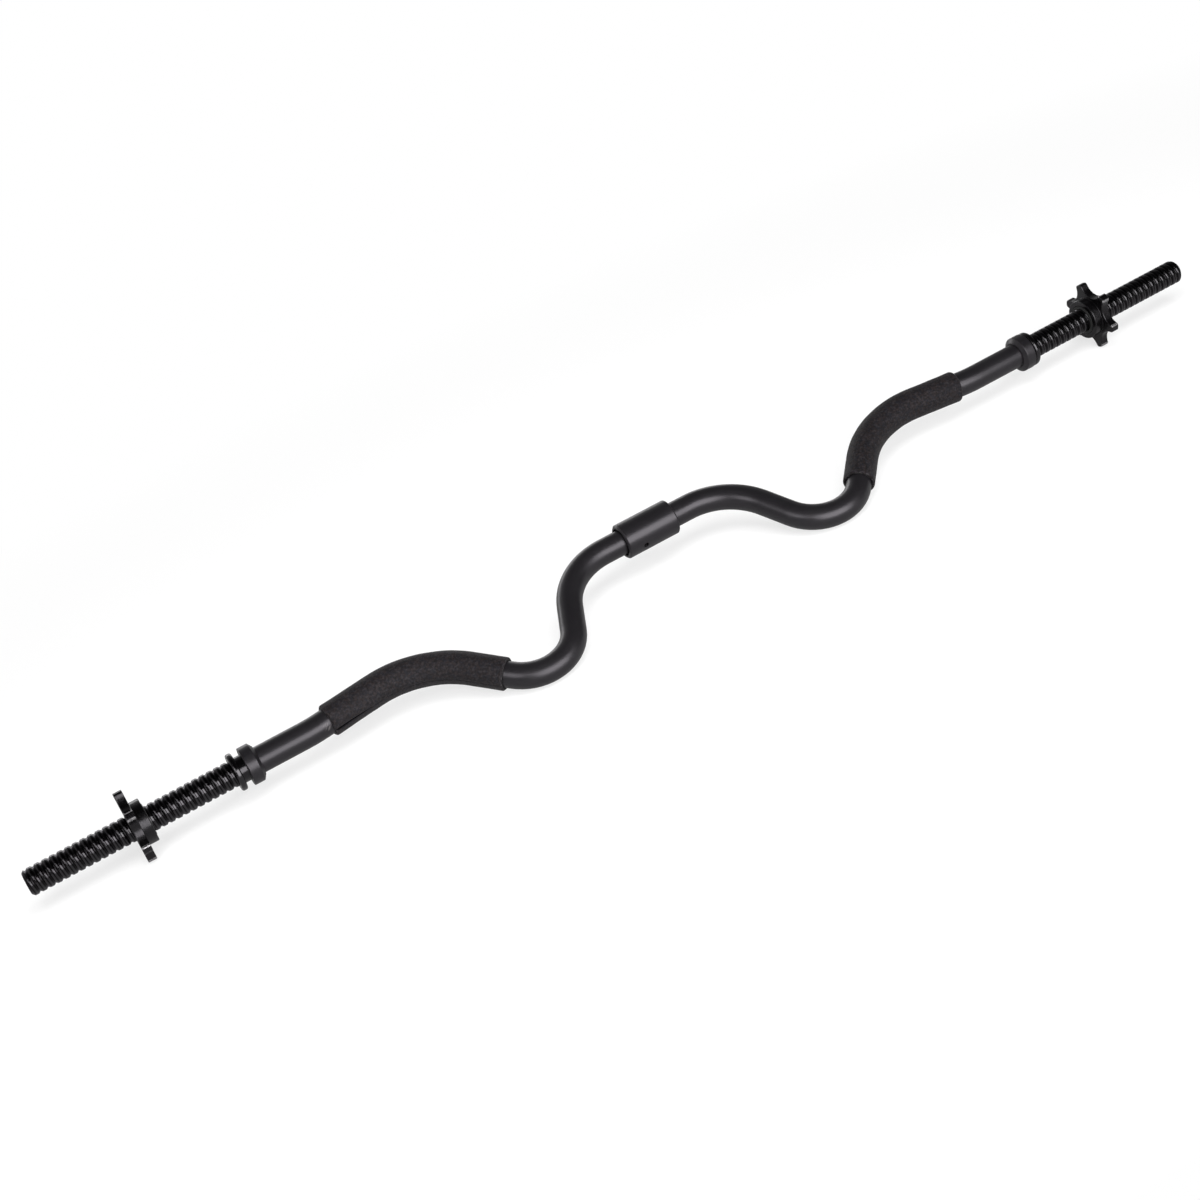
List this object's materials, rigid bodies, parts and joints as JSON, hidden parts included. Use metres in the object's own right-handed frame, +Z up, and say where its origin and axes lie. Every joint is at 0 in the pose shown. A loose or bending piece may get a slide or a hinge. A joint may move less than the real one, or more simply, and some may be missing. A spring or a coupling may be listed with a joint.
{
  "type": "curl bar",
  "caption": "Cambered take-apart curl bar with foam grips, a screw coupling in the middle, threaded plate ends, stop rings and lobed spin-lock star nuts.",
  "frame": {"origin": "on the floor under the middle of the bar's bounding box, with the bar lying on its star nuts and bends", "axes": "+X along the bar towards the right plate end, +Y from the bends' valleys towards the middle of the bar, +Z up"},
  "size_m": [1.3, 0.1184, 0.0664],
  "materials": {
    "satin_black_steel": "satin black powder coat",
    "gloss_black_thread": "gloss black oxide",
    "gloss_black_casting": "gloss black enamel",
    "foam": "matte closed-cell foam",
    "rubber": "matte black rubber",
    "plain_steel": "plain oiled steel"
  },
  "bodies": {
    "right_half": {"right_shaft_tube": "satin_black_steel", "right_threaded_spindle": "gloss_black_thread", "right_inner_flange": "satin_black_steel", "right_stop_ring": "gloss_black_thread", "right_foam_grip": "foam", "right_threaded_ferrule": "plain_steel", "coupling_spigot": "plain_steel", "alignment_pin": "plain_steel"},
    "left_half": {"left_shaft_tube": "satin_black_steel", "left_threaded_spindle": "gloss_black_thread", "left_inner_flange": "satin_black_steel", "left_stop_ring": "gloss_black_thread", "left_foam_grip": "foam", "left_captive_ring": "plain_steel"},
    "coupling_sleeve": {"coupling_sleeve": "satin_black_steel"},
    "coupling_set_screw": {"coupling_set_screw": "gloss_black_thread"},
    "left_gasket": {"left_nut_gasket": "rubber"},
    "left_nut": {"left_star_nut": "gloss_black_casting"},
    "right_gasket": {"right_nut_gasket": "rubber"},
    "right_nut": {"right_star_nut": "gloss_black_casting"}
  },
  "joints": [
    {"name": "left_half_slide", "type": "slide", "parent": "right_half", "child": "left_half", "axis": [-1, 0, 0], "range_m": [0, 0.0275]},
    {"name": "sleeve_turn", "type": "hinge", "parent": "left_half", "child": "coupling_sleeve", "pos_m": [0, 0.04145, 0.04137], "axis": [-1, 0, 0], "range_deg": [0, 3960.1]},
    {"name": "set_screw_slide", "type": "slide", "parent": "coupling_sleeve", "child": "coupling_set_screw", "axis": [0, -0.9503, -0.3112], "range_m": [0, 0.003]},
    {"name": "left_gasket_slide", "type": "slide", "parent": "left_half", "child": "left_gasket", "axis": [-1, 0, 0], "range_m": [-0.08143, 0.09684]},
    {"name": "left_nut_turn", "type": "hinge", "parent": "left_gasket", "child": "left_nut", "pos_m": [-0.54896, 0.01653, 0.03321], "axis": [-1, 0, 0], "range_deg": [-4129, 4910]},
    {"name": "right_gasket_slide", "type": "slide", "parent": "right_half", "child": "right_gasket", "axis": [1, 0, 0], "range_m": [-0.06944, 0.10885]},
    {"name": "right_nut_turn", "type": "hinge", "parent": "right_gasket", "child": "right_nut", "pos_m": [0.53696, 0.01653, 0.03321], "axis": [1, 0, 0], "range_deg": [-3521, 5519]}
  ],
  "couplings": [
    {"joint": "sleeve_turn", "follows": "left_half_slide", "rad_per_m": 2513.3},
    {"joint": "left_gasket_slide", "follows": "left_nut_turn", "m_per_rad": 0.00113},
    {"joint": "right_gasket_slide", "follows": "right_nut_turn", "m_per_rad": 0.00113}
  ]
}
